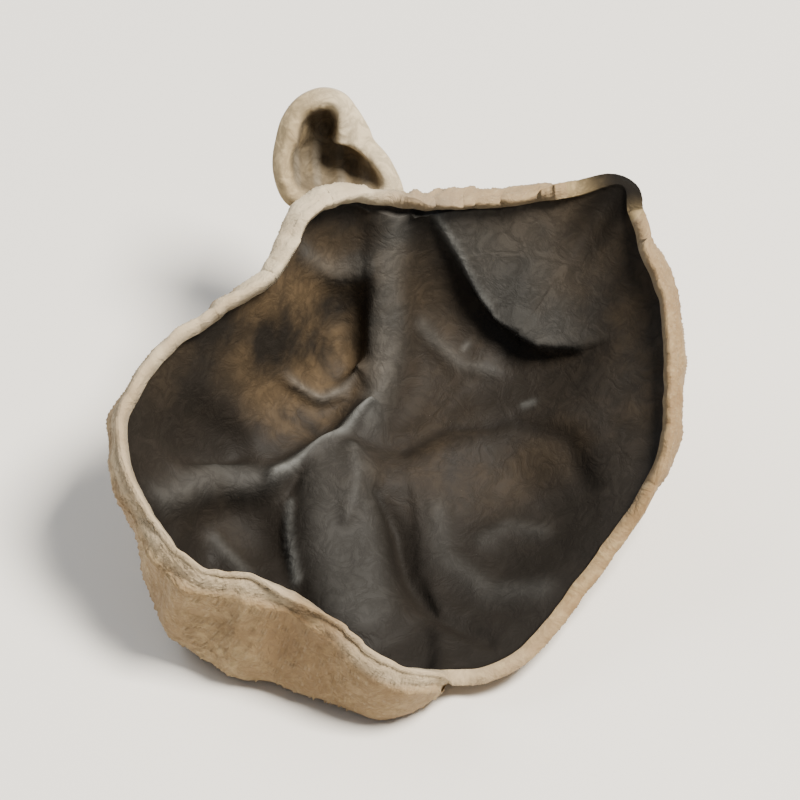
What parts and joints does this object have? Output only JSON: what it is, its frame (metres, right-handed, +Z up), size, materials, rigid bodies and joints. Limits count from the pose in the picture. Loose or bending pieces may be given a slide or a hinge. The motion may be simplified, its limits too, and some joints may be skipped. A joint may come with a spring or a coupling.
{
  "type": "dried wood ear mushroom",
  "caption": "Dried wood ear fungus: a shallow cupped leathery sheet, dark inside and tan outside, with a turned rim, a curled lobe and a pinched stub.",
  "frame": {"origin": "on the ground, under the middle of the ear's outline", "axes": "+Z up as it rests, -Y to the front, where its dark hollow leans; +Y, its longest extent, to the stub and the curled lobe; +X to the right"},
  "size_m": [0.0294, 0.0308, 0.0155],
  "materials": {
    "ear_flesh": "dry and matt, dark on the hollow side and tan on the outside"
  },
  "bodies": {
    "root": {"wood_ear": "ear_flesh"}
  },
  "joints": []
}
